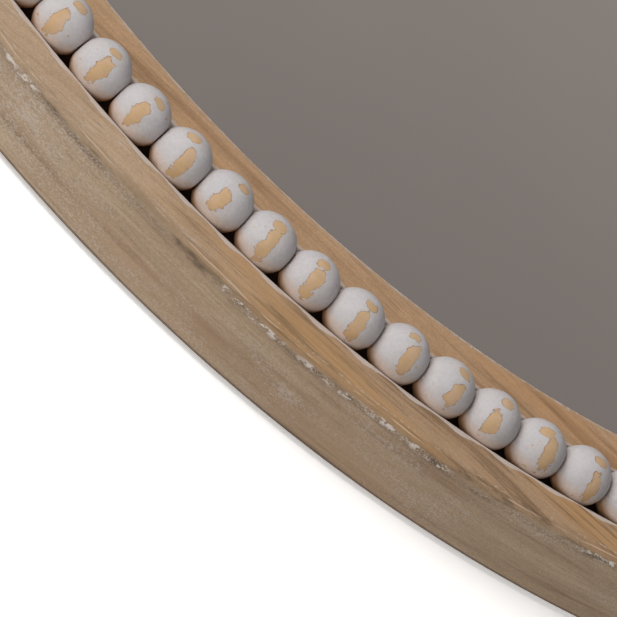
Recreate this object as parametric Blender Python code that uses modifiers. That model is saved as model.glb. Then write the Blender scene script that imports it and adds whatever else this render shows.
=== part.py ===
"""Round wall mirror with a beaded wooden frame.

Two concentric wooden hoops, each glued up from sawn segments, stand on a round panel. A row of
painted wooden beads lies in the channel between them, and a disc of mirror glass sits inside the
inner hoop. The panel is screwed into a rebate in the outer hoop from behind and carries two
hanging rings.

Metres, +Z up. The mirror faces -Y, and the wall is the plane y = 0. The origin is on that plane,
on the axis of the hoops. Angles go clockwise from the top, as seen from the front.
"""

import math

import bmesh
import bpy
from mathutils import Matrix, Vector

MM = 0.001

# Clearances
GAP = 0.3 * MM  # between two pieces that touch or seat on each other

# Beads
BEAD_DIAMETER = 20 * MM
BEAD_FLAT_DIAMETER = 8 * MM  # the flat round the hole at each end
BEAD_SPACING = 0.3 * MM
BEAD_SHOULDER = 0.42  # where its full width begins, as a share of its radius
BEAD_CORDS = 8
BEAD_CORD_DIAMETER = 2 * MM
BEAD_RING_RADIUS = 380 * MM
FIRST_BEAD_ANGLE = 2.1

# Channel and hoops
BEAD_SIDE_CLEARANCE = 1 * MM
BEAD_RISE = 11.3 * MM  # how far the beads stand out of the hoops' front faces
HOOP_WIDTH = 16 * MM
OUTER_HOOP_DEPTH = 29 * MM
OUTER_CHAMFER = 2 * MM
ARRIS = 0.5 * MM
HOOP_SEGMENTS = 6
OUTER_JOINT_ANGLE = -7.0
INNER_JOINT_ANGLE = -3.0
TURNED_STEPS = 96  # facets in a full turn

# Panel, glass and what lies between them
PANEL_THICKNESS = 9 * MM
PANEL_SEAT = 7 * MM  # how far the rebate reaches under the panel
GLASS_THICKNESS = 3 * MM
GLASS_COVER = 5 * MM  # how much of the glass's edge the inner hoop hides
GLASS_EDGE_CLEARANCE = 0.5 * MM
TAPE_THICKNESS = 1 * MM
TAPE_WIDTH = 20 * MM
TAPE_COUNT = 4
TAPE_SPACING = 140 * MM
TAPE_MARGIN = 50 * MM  # from a strip's end to the glass's edge

# Splines that key the outer hoop's segments end to end
SPLINE_THICKNESS = 3 * MM
SPLINE_HEIGHT = 12 * MM
SPLINE_LENGTH = 20 * MM

# Wall bumpers
BUMPER_DIAMETER = 8 * MM
BUMPER_THICKNESS = 2 * MM
BUMPER_ANGLES = (45, 135, 225, 315)

# Screws
SCREW_DIAMETER = 3.5 * MM
SCREW_HEAD_DIAMETER = 7 * MM
SCREW_TIP = 2 * MM
SCREW_SIDES = 10
PANEL_SCREW_COVER = 2.5 * MM  # wood left between its tip and the hoop's front
PANEL_SCREW_SINK = 0.2 * MM
PANEL_SCREW_OFFSET = 15.0  # degrees either side of a segment's middle
COUNTERSINK_DEPTH = 2 * MM
HANGER_SCREW_HEAD = 2 * MM
HANGER_SCREW_COVER = 2 * MM  # board left in front of its tip

# Hangers
HANGER_ANGLE = 40.0  # either side of the top
HANGER_INSET = 86 * MM  # from the hinge to the rebate's wall
STRAP_THICKNESS = 1.4 * MM
STRAP_WIDTH = 12 * MM
STRAP_LENGTH = 36 * MM
STRAP_TOP_SCREW = 11 * MM  # below the hinge
STRAP_END_SCREW = 9 * MM  # above the strap's lower end
RING_WIRE = 3 * MM
RING_WIDTH = 26 * MM  # across the wire's centreline
RING_CORNER = 4 * MM

# Places and sizes that follow from the ones above
BEAD_LENGTH = math.sqrt(BEAD_DIAMETER**2 - BEAD_FLAT_DIAMETER**2)
BEAD_COUNT = int(2 * math.pi * BEAD_RING_RADIUS / (BEAD_LENGTH + BEAD_SPACING))
OUTER_INSIDE = BEAD_RING_RADIUS + BEAD_DIAMETER / 2 + BEAD_SIDE_CLEARANCE
OUTER_OUTSIDE = OUTER_INSIDE + HOOP_WIDTH
INNER_OUTSIDE = BEAD_RING_RADIUS - BEAD_DIAMETER / 2 - BEAD_SIDE_CLEARANCE
INNER_INSIDE = INNER_OUTSIDE - HOOP_WIDTH
HOOP_BACK = -BUMPER_THICKNESS
HOOP_FRONT = HOOP_BACK - OUTER_HOOP_DEPTH
BEAD_PLANE = HOOP_FRONT - BEAD_RISE + BEAD_DIAMETER / 2
PANEL_FRONT = BEAD_PLANE + BEAD_DIAMETER / 2 + GAP
PANEL_BACK = PANEL_FRONT + PANEL_THICKNESS
PANEL_RADIUS = OUTER_INSIDE + PANEL_SEAT
REBATE_RADIUS = PANEL_RADIUS + GAP
SEAT = PANEL_FRONT - GAP
GLASS_BACK = SEAT - TAPE_THICKNESS - GAP
GLASS_FRONT = GLASS_BACK - GLASS_THICKNESS
GLASS_RADIUS = INNER_INSIDE + GLASS_COVER - GLASS_EDGE_CLEARANCE
BACK_LEG_RADIUS = (REBATE_RADIUS + OUTER_OUTSIDE) / 2
SPLINE_MIDDLE = (SEAT + HOOP_BACK) / 2
PANEL_SCREW_RADIUS = OUTER_INSIDE + PANEL_SEAT / 2
PANEL_SCREW_TIP = HOOP_FRONT + PANEL_SCREW_COVER
HANGER_SCREW_TIP = PANEL_FRONT + HANGER_SCREW_COVER
HANGER_RADIUS = REBATE_RADIUS - HANGER_INSET
HANGER_X = HANGER_RADIUS * math.sin(math.radians(HANGER_ANGLE))
HANGER_Z = HANGER_RADIUS * math.cos(math.radians(HANGER_ANGLE))
SCREW_HOLE_RADIUS = SCREW_DIAMETER / 2 + GAP
BARREL_BORE = RING_WIRE / 2 + GAP
BARREL_RADIUS = BARREL_BORE + STRAP_THICKNESS
STRAP_FACE = PANEL_BACK + GAP
HINGE_Y = STRAP_FACE + BARREL_RADIUS
RING_REACH = RING_CORNER + RING_WIDTH / 2  # hinge to the far side of the ring
RING_LEAN = math.asin((HINGE_Y - PANEL_BACK - GAP - RING_WIRE / 2) / RING_REACH)


def ring_point(radius, degrees, y=0.0):
    """The point at a radius and an angle clockwise from the top."""
    a = math.radians(degrees)
    return Vector((radius * math.sin(a), y, radius * math.cos(a)))


def material(name, colour, roughness, metallic=0.0):
    made = bpy.data.materials.get(name) or bpy.data.materials.new(name)
    made.use_nodes = True
    shader = made.node_tree.nodes["Principled BSDF"]
    shader.inputs["Base Color"].default_value = (*colour, 1.0)
    shader.inputs["Roughness"].default_value = roughness
    shader.inputs["Metallic"].default_value = metallic
    return made


def add_object(name, data, collection, finish=None):
    made = bpy.data.objects.new(name, data)
    collection.objects.link(made)
    if finish:
        data.materials.append(finish)
    return made


def mesh_from(bm, name):
    bmesh.ops.recalc_face_normals(bm, faces=bm.faces)
    mesh = bpy.data.meshes.new(name)
    bm.to_mesh(mesh)
    bm.free()
    return mesh


def smooth(mesh):
    mesh.shade_smooth()
    mesh.set_sharp_from_angle(angle=math.radians(30))


def arc_solid(name, profile, start, sweep, steps):
    """The mesh of a closed profile of (radius, y) points, swept round the Y axis and capped."""
    bm = bmesh.new()
    face = bm.faces.new([bm.verts.new(ring_point(r, start, y)) for r, y in profile])
    bmesh.ops.spin(
        bm,
        geom=[*face.verts, *face.edges, face],
        cent=(0, 0, 0),
        axis=(0, 1, 0),
        angle=math.radians(sweep),
        steps=steps,
    )
    return mesh_from(bm, name)


def turned(name, profile, steps, collection, finish=None):
    """An object turned about its own Z axis, from (radius, height) points, top to bottom."""
    mesh = bpy.data.meshes.new(name)
    edges = [(i, i + 1) for i in range(len(profile) - 1)]
    mesh.from_pydata([(r, 0, h) for r, h in profile], edges, [])
    made = add_object(name, mesh, collection, finish)
    screw = made.modifiers.new("Turn", "SCREW")
    screw.axis = "Z"
    screw.steps = screw.render_steps = steps
    screw.use_merge_vertices = True
    screw.merge_threshold = 0.01 * MM
    return made


def face_back(obj, place):
    """Turns an object's own +Z towards the wall, and puts its origin at the place."""
    obj.rotation_euler = (math.radians(-90), 0, 0)
    obj.location = place
    return obj


def box(name, size, matrix):
    bm = bmesh.new()
    bmesh.ops.create_cube(bm, size=1.0, matrix=matrix @ Matrix.Diagonal((*size, 1.0)))
    return mesh_from(bm, name)


def at_angle(radius, degrees, y):
    """The matrix of a place on the ring: X runs along the ring, Z points outwards."""
    turn = Matrix.Rotation(math.radians(degrees), 4, "Y")
    return Matrix.Translation(ring_point(radius, degrees, y)) @ turn


def cylinder(radius, front, back, sides, place):
    """A bmesh cylinder with its axis along Y, from y = front to y = back, through a place."""
    bm = bmesh.new()
    turn = Matrix.Rotation(math.radians(90), 4, "X")
    middle = Vector((place.x, (front + back) / 2, place.z))
    bmesh.ops.create_cone(
        bm,
        cap_ends=True,
        segments=sides,
        radius1=radius,
        radius2=radius,
        depth=back - front,
        matrix=Matrix.Translation(middle) @ turn,
    )
    return bm


def cutter(name, shapes, collection):
    """One hidden object that holds several separate closed shapes, each given as a mesh."""
    bm = bmesh.new()
    for shape in shapes:
        bm.from_mesh(shape)
        bpy.data.meshes.remove(shape)
    made = add_object(name, mesh_from(bm, name), collection)
    made.hide_render = True
    made.display_type = "WIRE"
    return made


def cut(obj, tool):
    modifier = obj.modifiers.new("Cut " + tool.name, "BOOLEAN")
    modifier.operation = "DIFFERENCE"
    modifier.object = tool
    modifier.solver = "EXACT"


def meshed(obj, collection):
    """Replaces a curve object by the mesh it draws, with the caps welded on."""
    graph = bpy.context.evaluated_depsgraph_get()
    name = obj.name
    mesh = bpy.data.meshes.new_from_object(obj.evaluated_get(graph))
    bm = bmesh.new()
    bm.from_mesh(mesh)
    bmesh.ops.remove_doubles(bm, verts=bm.verts, dist=0.001 * MM)
    bm.to_mesh(mesh)
    bm.free()
    matrix = obj.matrix_world.copy()
    bpy.data.objects.remove(obj)
    made = add_object(name, mesh, collection)
    made.matrix_world = matrix
    return made


# Screw holes and spline pockets


def panel_screw_angles():
    pitch = 360 / HOOP_SEGMENTS
    middles = [OUTER_JOINT_ANGLE + pitch * (i + 0.5) for i in range(HOOP_SEGMENTS)]
    return [middle + side * PANEL_SCREW_OFFSET for middle in middles for side in (-1, 1)]


def hanger_screw_places():
    drops = (STRAP_TOP_SCREW, STRAP_LENGTH - STRAP_END_SCREW)
    return [Vector((side * HANGER_X, 0, HANGER_Z - drop)) for side in (-1, 1) for drop in drops]


def panel_hole_shapes():
    """A clearance hole for each panel screw, with a cone for its head, running on into the hoop."""
    shapes = []
    for degrees in panel_screw_angles():
        place = ring_point(PANEL_SCREW_RADIUS, degrees)
        bm = cylinder(SCREW_HOLE_RADIUS, PANEL_SCREW_TIP - GAP, PANEL_BACK - GAP, SCREW_SIDES, place)
        shapes.append(mesh_from(bm, "panel_screw_hole"))
    return shapes


def countersink_shapes():
    shapes = []
    mouth = SCREW_HEAD_DIAMETER / 2 + GAP
    for degrees in panel_screw_angles():
        bm = bmesh.new()
        depth = COUNTERSINK_DEPTH + PANEL_SCREW_SINK + GAP
        slope = (mouth - SCREW_HOLE_RADIUS) / depth
        over = GAP
        middle = ring_point(PANEL_SCREW_RADIUS, degrees, PANEL_BACK - (depth - over) / 2)
        bmesh.ops.create_cone(
            bm,
            cap_ends=True,
            segments=SCREW_SIDES,
            radius1=mouth + slope * over,
            radius2=SCREW_HOLE_RADIUS,
            depth=depth + over,
            matrix=Matrix.Translation(middle) @ Matrix.Rotation(math.radians(90), 4, "X"),
        )
        shapes.append(mesh_from(bm, "countersink"))
    return shapes


def hanger_hole_shapes():
    """A hole for each hanger screw, through the strap and into the panel from behind."""
    out = STRAP_FACE + STRAP_THICKNESS + GAP
    return [
        mesh_from(
            cylinder(SCREW_HOLE_RADIUS, HANGER_SCREW_TIP - GAP, out, SCREW_SIDES, place),
            "hanger_screw_hole",
        )
        for place in hanger_screw_places()
    ]


def outer_joint_angles():
    return [OUTER_JOINT_ANGLE + 360 / HOOP_SEGMENTS * i for i in range(HOOP_SEGMENTS)]


def spline_box(name, degrees, grow):
    size = (SPLINE_LENGTH + 2 * grow, SPLINE_HEIGHT + 2 * grow, SPLINE_THICKNESS + 2 * grow)
    return box(name, size, at_angle(BACK_LEG_RADIUS, degrees, SPLINE_MIDDLE))


# The pieces


def add_outer_hoop(parts, wood, holes, pockets):
    """Solid wood segments with a rebate behind, keyed end to end, screwed to the panel's rim."""
    profile = [
        (OUTER_INSIDE, SEAT),
        (OUTER_INSIDE, HOOP_FRONT + ARRIS),
        (OUTER_INSIDE + ARRIS, HOOP_FRONT),
        (OUTER_OUTSIDE - OUTER_CHAMFER, HOOP_FRONT),
        (OUTER_OUTSIDE, HOOP_FRONT + OUTER_CHAMFER),
        (OUTER_OUTSIDE, HOOP_BACK - ARRIS),
        (OUTER_OUTSIDE - ARRIS, HOOP_BACK),
        (REBATE_RADIUS, HOOP_BACK),
        (REBATE_RADIUS, SEAT),
    ]
    for number, obj in add_segments(parts, "outer_hoop", profile, OUTER_OUTSIDE, OUTER_JOINT_ANGLE, wood):
        cut(obj, holes)
        cut(obj, pockets)


def add_segments(parts, name, profile, radius, joint_angle, wood):
    """A hoop in equal segments, each a gap short of its neighbour. Yields each one's number and object."""
    pitch = 360 / HOOP_SEGMENTS
    short = math.degrees(GAP / radius)
    for number in range(HOOP_SEGMENTS):
        start = joint_angle + pitch * number + short / 2
        mesh = arc_solid(name, profile, start, pitch - short, TURNED_STEPS // HOOP_SEGMENTS)
        smooth(mesh)
        yield number, add_object(f"{name}_segment_{number + 1}", mesh, parts, wood)


def add_inner_hoop(parts, wood):
    """Solid wood segments glued to the panel, with a rebate behind over the edge of the glass."""
    lip = GLASS_FRONT - GAP
    glass_wall = INNER_INSIDE + GLASS_COVER
    profile = [
        (glass_wall, SEAT),
        (glass_wall, lip),
        (INNER_INSIDE, lip),
        (INNER_INSIDE, HOOP_FRONT + ARRIS),
        (INNER_INSIDE + ARRIS, HOOP_FRONT),
        (INNER_OUTSIDE - ARRIS, HOOP_FRONT),
        (INNER_OUTSIDE, HOOP_FRONT + ARRIS),
        (INNER_OUTSIDE, SEAT),
    ]
    for _ in add_segments(parts, "inner_hoop", profile, INNER_OUTSIDE, INNER_JOINT_ANGLE, wood):
        pass


def add_splines(parts, wood):
    for number, degrees in enumerate(outer_joint_angles(), 1):
        name = f"hoop_spline_{number}"
        add_object(name, spline_box(name, degrees, 0), parts, wood)


def add_disc(parts, name, radius, front, back, finish):
    """A round sheet, turned about the Y axis. Its object's +Z points to the wall."""
    profile = [(0, back), (radius, back), (radius, front), (0, front)]
    made = turned(name, profile, TURNED_STEPS, parts, finish)
    made.rotation_euler = (math.radians(-90), 0, 0)
    return made


def add_tapes(parts, foam):
    """Upright strips of foam tape, each cut to suit the disc."""
    for number in range(TAPE_COUNT):
        x = (number - (TAPE_COUNT - 1) / 2) * TAPE_SPACING
        name = f"mirror_tape_{number + 1}"
        length = 2 * (math.sqrt(GLASS_RADIUS**2 - x**2) - TAPE_MARGIN)
        middle = Matrix.Translation((x, SEAT - TAPE_THICKNESS / 2, 0))
        add_object(name, box(name, (TAPE_WIDTH, TAPE_THICKNESS, length), middle), parts, foam)


def bead_stations():
    """(distance from the bead's middle, radius) along a bead and half the gap on each side of it."""
    half = BEAD_LENGTH / 2
    shoulder = BEAD_SHOULDER * BEAD_DIAMETER / 2
    half_pitch = math.pi * BEAD_RING_RADIUS / BEAD_COUNT
    flat = BEAD_FLAT_DIAMETER / 2
    cord = BEAD_CORD_DIAMETER / 2
    return [
        (-half_pitch, cord),
        (-half, flat),
        (-shoulder, BEAD_DIAMETER / 2),
        (shoulder, BEAD_DIAMETER / 2),
        (half, flat),
        (half_pitch, cord),
    ]


def add_bead_strings(parts, paint):
    """Cords of beads laid in the channel. One tube whose radius follows each bead and the cord between."""
    pitch = 360 / BEAD_COUNT
    stations = bead_stations()
    for number in range(BEAD_CORDS):
        first = BEAD_COUNT * number // BEAD_CORDS
        last = BEAD_COUNT * (number + 1) // BEAD_CORDS - 1
        rings = []
        for bead in range(first, last + 1):
            middle = FIRST_BEAD_ANGLE + pitch * bead
            for along, radius in stations if bead == last else stations[:-1]:
                rings.append([middle + math.degrees(along / BEAD_RING_RADIUS), radius])
        trim = math.degrees(GAP / 2 / BEAD_RING_RADIUS)
        rings[0][0] += trim
        rings[-1][0] -= trim
        name = f"bead_string_{number + 1}"
        curve = bpy.data.curves.new(name, "CURVE")
        curve.dimensions = "3D"
        curve.bevel_depth = BEAD_DIAMETER / 2
        curve.bevel_resolution = 2
        curve.use_fill_caps = True
        spline = curve.splines.new("POLY")
        spline.points.add(len(rings) - 1)
        for point, (degrees, radius) in zip(spline.points, rings):
            point.co = (*ring_point(BEAD_RING_RADIUS, degrees, BEAD_PLANE), 1)
            point.radius = radius / curve.bevel_depth
        add_object(name, curve, parts, paint)


def add_bumpers(parts, rubber):
    for number, degrees in enumerate(BUMPER_ANGLES, 1):
        r, t = BUMPER_DIAMETER / 2, BUMPER_THICKNESS - GAP
        profile = [(0, 0), (r - ARRIS, 0), (r, -ARRIS), (r, -t), (0, -t)]
        bumper = turned(f"wall_bumper_{number}", profile, 16, parts, rubber)
        face_back(bumper, ring_point(BACK_LEG_RADIUS, degrees))


def add_panel_screws(parts, steel):
    """Countersunk screws, their heads just below the panel's back."""
    face = PANEL_BACK - PANEL_SCREW_SINK
    length = face - PANEL_SCREW_TIP
    profile = [
        (0, 0),
        (SCREW_HEAD_DIAMETER / 2, 0),
        (SCREW_DIAMETER / 2, -COUNTERSINK_DEPTH),
        (SCREW_DIAMETER / 2, SCREW_TIP - length),
        (0, -length),
    ]
    for number, degrees in enumerate(panel_screw_angles(), 1):
        screw = turned(f"panel_screw_{number:02d}", profile, SCREW_SIDES, parts, steel)
        face_back(screw, ring_point(PANEL_SCREW_RADIUS, degrees, face))


def add_hanger_screws(parts, steel):
    """Pan-head screws that hold the straps to the panel."""
    under = STRAP_FACE + STRAP_THICKNESS + GAP
    shank = under - HANGER_SCREW_TIP
    head, r = SCREW_HEAD_DIAMETER / 2, SCREW_DIAMETER / 2
    profile = [
        (0, HANGER_SCREW_HEAD),
        (head - 2 * ARRIS, HANGER_SCREW_HEAD),
        (head, HANGER_SCREW_HEAD - 2 * ARRIS),
        (head, 0),
        (r, 0),
        (r, SCREW_TIP - shank),
        (0, -shank),
    ]
    for number, place in enumerate(hanger_screw_places(), 1):
        screw = turned(f"hanger_screw_{number}", profile, SCREW_SIDES, parts, steel)
        face_back(screw, place + Vector((0, under, 0)))


def strap_outline():
    """Side view of the strap as (distance from the panel, height) points: a plate rolled into a barrel."""
    inner = math.acos((BARREL_RADIUS - STRAP_THICKNESS) / BARREL_RADIUS)
    steps = 14
    first, last = math.pi, -(math.pi - inner)
    roll = [first + (last - first) * i / steps for i in range(steps + 1)]
    barrel = [
        (BARREL_RADIUS * (1 + math.cos(a)), BARREL_RADIUS * math.sin(a))
        for a in roll
    ]
    return [(0, -STRAP_LENGTH), *barrel, (STRAP_THICKNESS, -STRAP_LENGTH)]


def add_straps(parts, cutters, zinc, holes):
    """Each strap is a 2D outline with the ring's bore in it, extruded to the strap's width."""
    bore = [
        (BARREL_RADIUS + BARREL_BORE * math.cos(a), BARREL_BORE * math.sin(a))
        for a in (2 * math.pi * i / 12 for i in range(12))
    ]
    # The outline's own X points away from the panel and its Y points up.
    stand = Matrix(((0, 0, 1, 0), (1, 0, 0, 0), (0, 1, 0, 0), (0, 0, 0, 1)))
    for name, side in (("left", -1), ("right", 1)):
        curve = bpy.data.curves.new(f"hanger_strap_{name}", "CURVE")
        curve.dimensions = "2D"
        curve.fill_mode = "BOTH"
        curve.extrude = STRAP_WIDTH / 2
        for outline in (strap_outline(), bore):
            spline = curve.splines.new("POLY")
            spline.use_cyclic_u = True
            spline.points.add(len(outline) - 1)
            for point, (out, up) in zip(spline.points, outline):
                point.co = (out, up, 0, 1)
        drawn = add_object(f"hanger_strap_{name}", curve, cutters)
        drawn.matrix_world = Matrix.Translation((side * HANGER_X, STRAP_FACE, HANGER_Z)) @ stand
        bpy.context.view_layer.update()
        strap = meshed(drawn, parts)
        strap.name = f"hanger_strap_{name}"
        strap.data.materials.append(zinc)
        cut(strap, holes)


def ring_centreline():
    """A D: a straight bar on the hinge axis, two small corners and a half circle over them."""
    half = RING_WIDTH / 2
    points = []
    for i in range(4):
        a = math.radians(-90 + 30 * i)
        points.append((half - RING_CORNER + RING_CORNER * math.cos(a), RING_CORNER * (1 + math.sin(a))))
    for i in range(1, 9):
        a = math.radians(20 * i)
        points.append((half * math.cos(a), RING_CORNER + half * math.sin(a)))
    return points + [(-x, z) for x, z in reversed(points[:4])]


def add_rings(parts, zinc):
    """Wire rings hinged in the straps' barrels. At rest each stands up and leans on the panel."""
    for name, side in (("left", -1), ("right", 1)):
        curve = bpy.data.curves.new(f"hanger_ring_{name}", "CURVE")
        curve.dimensions = "3D"
        curve.bevel_depth = RING_WIRE / 2
        curve.bevel_resolution = 2
        spline = curve.splines.new("POLY")
        line = ring_centreline()
        spline.points.add(len(line) - 1)
        spline.use_cyclic_u = True
        for point, (x, z) in zip(spline.points, line):
            point.co = (x, 0, z, 1)
        ring = add_object(f"hanger_ring_{name}", curve, parts, zinc)
        ring.location = (side * HANGER_X, HINGE_Y, HANGER_Z)
        ring.rotation_euler = (RING_LEAN, 0, 0)


def main():
    for obj in list(bpy.data.objects):
        bpy.data.objects.remove(obj)
    parts = bpy.data.collections.new("beaded_wall_mirror")
    cutters = bpy.data.collections.new("cutters")
    bpy.context.scene.collection.children.link(parts)
    bpy.context.scene.collection.children.link(cutters)

    frame_wood = material("frame_wood", (0.45, 0.30, 0.17), 0.7)
    spline_wood = material("spline_wood", (0.50, 0.36, 0.22), 0.7)
    bead_paint = material("bead_paint", (0.72, 0.67, 0.66), 0.6)
    silver = material("mirror", (0.9, 0.9, 0.9), 0.02, 1.0)
    board = material("panel_board", (0.28, 0.19, 0.11), 0.85)
    foam = material("tape_foam", (0.8, 0.8, 0.78), 0.9)
    steel = material("screw_steel", (0.6, 0.58, 0.5), 0.35, 1.0)
    zinc = material("hanger_zinc", (0.62, 0.62, 0.64), 0.3, 1.0)
    felt = material("bumper_felt", (0.30, 0.26, 0.22), 0.95)

    panel_holes = cutter("panel_screw_holes", panel_hole_shapes(), cutters)
    countersinks = cutter("countersinks", countersink_shapes(), cutters)
    hanger_holes = cutter("hanger_screw_holes", hanger_hole_shapes(), cutters)
    pocket_shapes = [spline_box("pocket", degrees, GAP) for degrees in outer_joint_angles()]
    pockets = cutter("spline_pockets", pocket_shapes, cutters)

    add_outer_hoop(parts, frame_wood, panel_holes, pockets)
    add_inner_hoop(parts, frame_wood)
    add_splines(parts, spline_wood)
    panel = add_disc(parts, "back_panel", PANEL_RADIUS, PANEL_FRONT, PANEL_BACK, board)
    for holes in (panel_holes, countersinks, hanger_holes):
        cut(panel, holes)
    add_disc(parts, "mirror_glass", GLASS_RADIUS, GLASS_FRONT, GLASS_BACK, silver)
    add_tapes(parts, foam)
    add_bead_strings(parts, bead_paint)
    add_bumpers(parts, felt)
    add_panel_screws(parts, steel)
    add_straps(parts, cutters, zinc, hanger_holes)
    add_hanger_screws(parts, steel)
    add_rings(parts, zinc)


main()
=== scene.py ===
import math
import random

import bmesh
import bpy
from mathutils import Matrix, Vector, noise


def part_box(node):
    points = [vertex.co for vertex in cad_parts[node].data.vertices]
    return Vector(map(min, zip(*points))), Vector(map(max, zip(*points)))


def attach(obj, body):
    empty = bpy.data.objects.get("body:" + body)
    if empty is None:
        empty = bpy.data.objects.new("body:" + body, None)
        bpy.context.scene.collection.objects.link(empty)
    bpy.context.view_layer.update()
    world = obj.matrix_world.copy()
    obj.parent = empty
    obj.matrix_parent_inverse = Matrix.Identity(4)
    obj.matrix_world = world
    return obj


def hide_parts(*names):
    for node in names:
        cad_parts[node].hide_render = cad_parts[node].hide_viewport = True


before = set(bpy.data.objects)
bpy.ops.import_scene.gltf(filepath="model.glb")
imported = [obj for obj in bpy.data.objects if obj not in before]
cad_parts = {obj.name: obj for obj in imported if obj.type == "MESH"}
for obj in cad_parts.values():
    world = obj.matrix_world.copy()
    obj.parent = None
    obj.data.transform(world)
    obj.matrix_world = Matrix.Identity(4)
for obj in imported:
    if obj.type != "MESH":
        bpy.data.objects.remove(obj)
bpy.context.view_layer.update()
MM = 0.001


# Back panel: a disc of brown fibreboard that carries everything else. Its front is painted dark
# where it shows between the two hoops, as painted shade between the beads, and its back is left
# as it came off the press.

BOARD_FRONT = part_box("back_panel")[0].y
BOARD_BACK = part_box("back_panel")[1].y


def add_node(tree, kind, inputs=(), **settings):
    """A shader node. Inputs are (socket, value or output) pairs, set after its settings."""
    made = tree.nodes.new(kind)
    for name, value in settings.items():
        setattr(made, name, value)
    for socket, value in inputs:
        if isinstance(value, bpy.types.NodeSocket):
            tree.links.new(value, made.inputs[socket])
        else:
            made.inputs[socket].default_value = value
    return made


def maths(tree, operation, a, b=0.0, c=0.0):
    pairs = [(0, a), (1, b), (2, c)]
    return add_node(tree, "ShaderNodeMath", pairs, operation=operation).outputs[0]


def times(tree, a, b):
    return maths(tree, "MULTIPLY", a, b)


def ease(tree, value, low, high):
    """A mask that rises smoothly from 0 at low to 1 at high, or falls where low is the greater."""
    pairs = [("Value", value), ("From Min", min(low, high)), ("From Max", max(low, high))]
    if low > high:
        pairs += [("To Min", 1.0), ("To Max", 0.0)]
    made = add_node(tree, "ShaderNodeMapRange", pairs, interpolation_type="SMOOTHSTEP")
    return made.outputs["Result"]


def blend(tree, amount, a, b, how="MIX"):
    """Colour a, with colour b over it by the amount."""
    pairs = [(0, amount), (6, a), (7, b)]
    made = add_node(tree, "ShaderNodeMix", pairs, data_type="RGBA", blend_type=how)
    return made.outputs[2]


def stretched(tree, vector, x, y, z):
    pairs = [(0, vector), (1, (x, y, z))]
    return add_node(tree, "ShaderNodeVectorMath", pairs, operation="MULTIPLY").outputs[0]


def clouds(tree, vector, scale, detail=3.0, rough=0.5, distortion=0.0):
    """Soft random cloudiness from about 0.2 to 0.8."""
    pairs = [("Vector", vector), ("Scale", scale), ("Detail", detail)]
    pairs += [("Roughness", rough), ("Distortion", distortion)]
    return add_node(tree, "ShaderNodeTexNoise", pairs).outputs["Fac"]


def split(tree, vector):
    return add_node(tree, "ShaderNodeSeparateXYZ", [(0, vector)]).outputs


def relief(tree, height, strength, distance):
    pairs = [("Height", height), ("Strength", strength), ("Distance", distance)]
    return add_node(tree, "ShaderNodeBump", pairs).outputs["Normal"]


def object_place(tree):
    return add_node(tree, "ShaderNodeTexCoord").outputs["Object"]


def start_finish(name, **sockets):
    """A new material, with what is the same all over set on its shader's own sockets."""
    made = bpy.data.materials.new(name)
    made.use_nodes = True
    shader = made.node_tree.nodes["Principled BSDF"]
    for socket, value in sockets.items():
        shader.inputs[socket.replace("_", " ")].default_value = value
    return made, made.node_tree


def finished(made, **sockets):
    """The material, with what varies over it linked to its shader's sockets."""
    tree = made.node_tree
    shader = tree.nodes["Principled BSDF"]
    for socket, value in sockets.items():
        tree.links.new(value, shader.inputs[socket.replace("_", " ")])
    return made


def new_effect(name, inputs, outputs):
    """An empty node group that several finishes share, with its input and output nodes."""
    group = bpy.data.node_groups.new(name, "ShaderNodeTree")
    for label, kind in inputs:
        group.interface.new_socket(label, in_out="INPUT", socket_type="NodeSocket" + kind)
    for label, kind in outputs:
        group.interface.new_socket(label, in_out="OUTPUT", socket_type="NodeSocket" + kind)
    return group, group.nodes.new("NodeGroupInput"), group.nodes.new("NodeGroupOutput")


def place_effect(tree, group, inputs):
    return add_node(tree, "ShaderNodeGroup", inputs, node_tree=group).outputs


def make_handling():
    """Dust and rubbing on any surface: a soft cloud, and small scattered specks."""
    group, given, result = new_effect(
        "handling",
        [("Place", "Vector"), ("Size", "Float")],
        [("Cloud", "Float"), ("Specks", "Float")],
    )
    place, size = given.outputs["Place"], given.outputs["Size"]
    cloud = clouds(group, place, size, 5.0, 0.6)
    fine = clouds(group, place, times(group, size, 14.0), 2.0)
    group.links.new(ease(group, cloud, 0.35, 0.68), result.inputs["Cloud"])
    group.links.new(ease(group, fine, 0.66, 0.72), result.inputs["Specks"])
    return group


handling = make_handling()


def make_board_finish():
    made, tree = start_finish("brown_fibreboard", Roughness=0.85, Specular_IOR_Level=0.3)
    place = object_place(tree)
    fibres = clouds(tree, stretched(tree, place, 1.0, 1.0, 0.35), 900.0, 4.0, 0.7, 1.5)
    cloud, specks = place_effect(tree, handling, [("Place", place), ("Size", 14.0)])[:2]
    colour = blend(tree, ease(tree, fibres, 0.3, 0.7), (0.16, 0.09, 0.045, 1), (0.31, 0.20, 0.11, 1))
    colour = blend(tree, times(tree, cloud, 0.25), colour, (0.36, 0.27, 0.18, 1))
    colour = blend(tree, times(tree, specks, 0.5), colour, (0.07, 0.04, 0.02, 1))
    depth = split(tree, place)[1]
    # the front is painted near black where it shows between the hoops: painted shade between the beads
    painted_gap_shade = ease(tree, depth, BOARD_FRONT + 2 * MM, BOARD_FRONT + 0.5 * MM)
    colour = blend(tree, painted_gap_shade, colour, (0.060, 0.028, 0.014, 1))
    normal = relief(tree, fibres, 0.35, 0.15 * MM)
    return finished(made, Base_Color=colour, Normal=normal)


def refinish(node, finish):
    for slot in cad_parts[node].material_slots:
        slot.material = finish


refinish("back_panel", make_board_finish())


# Inner hoop: six pieces of solid tan timber sawn from straight boards and glued end to end, with
# a rebate behind for the mirror. Painted white, then sanded back until only arrises stay white.

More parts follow.
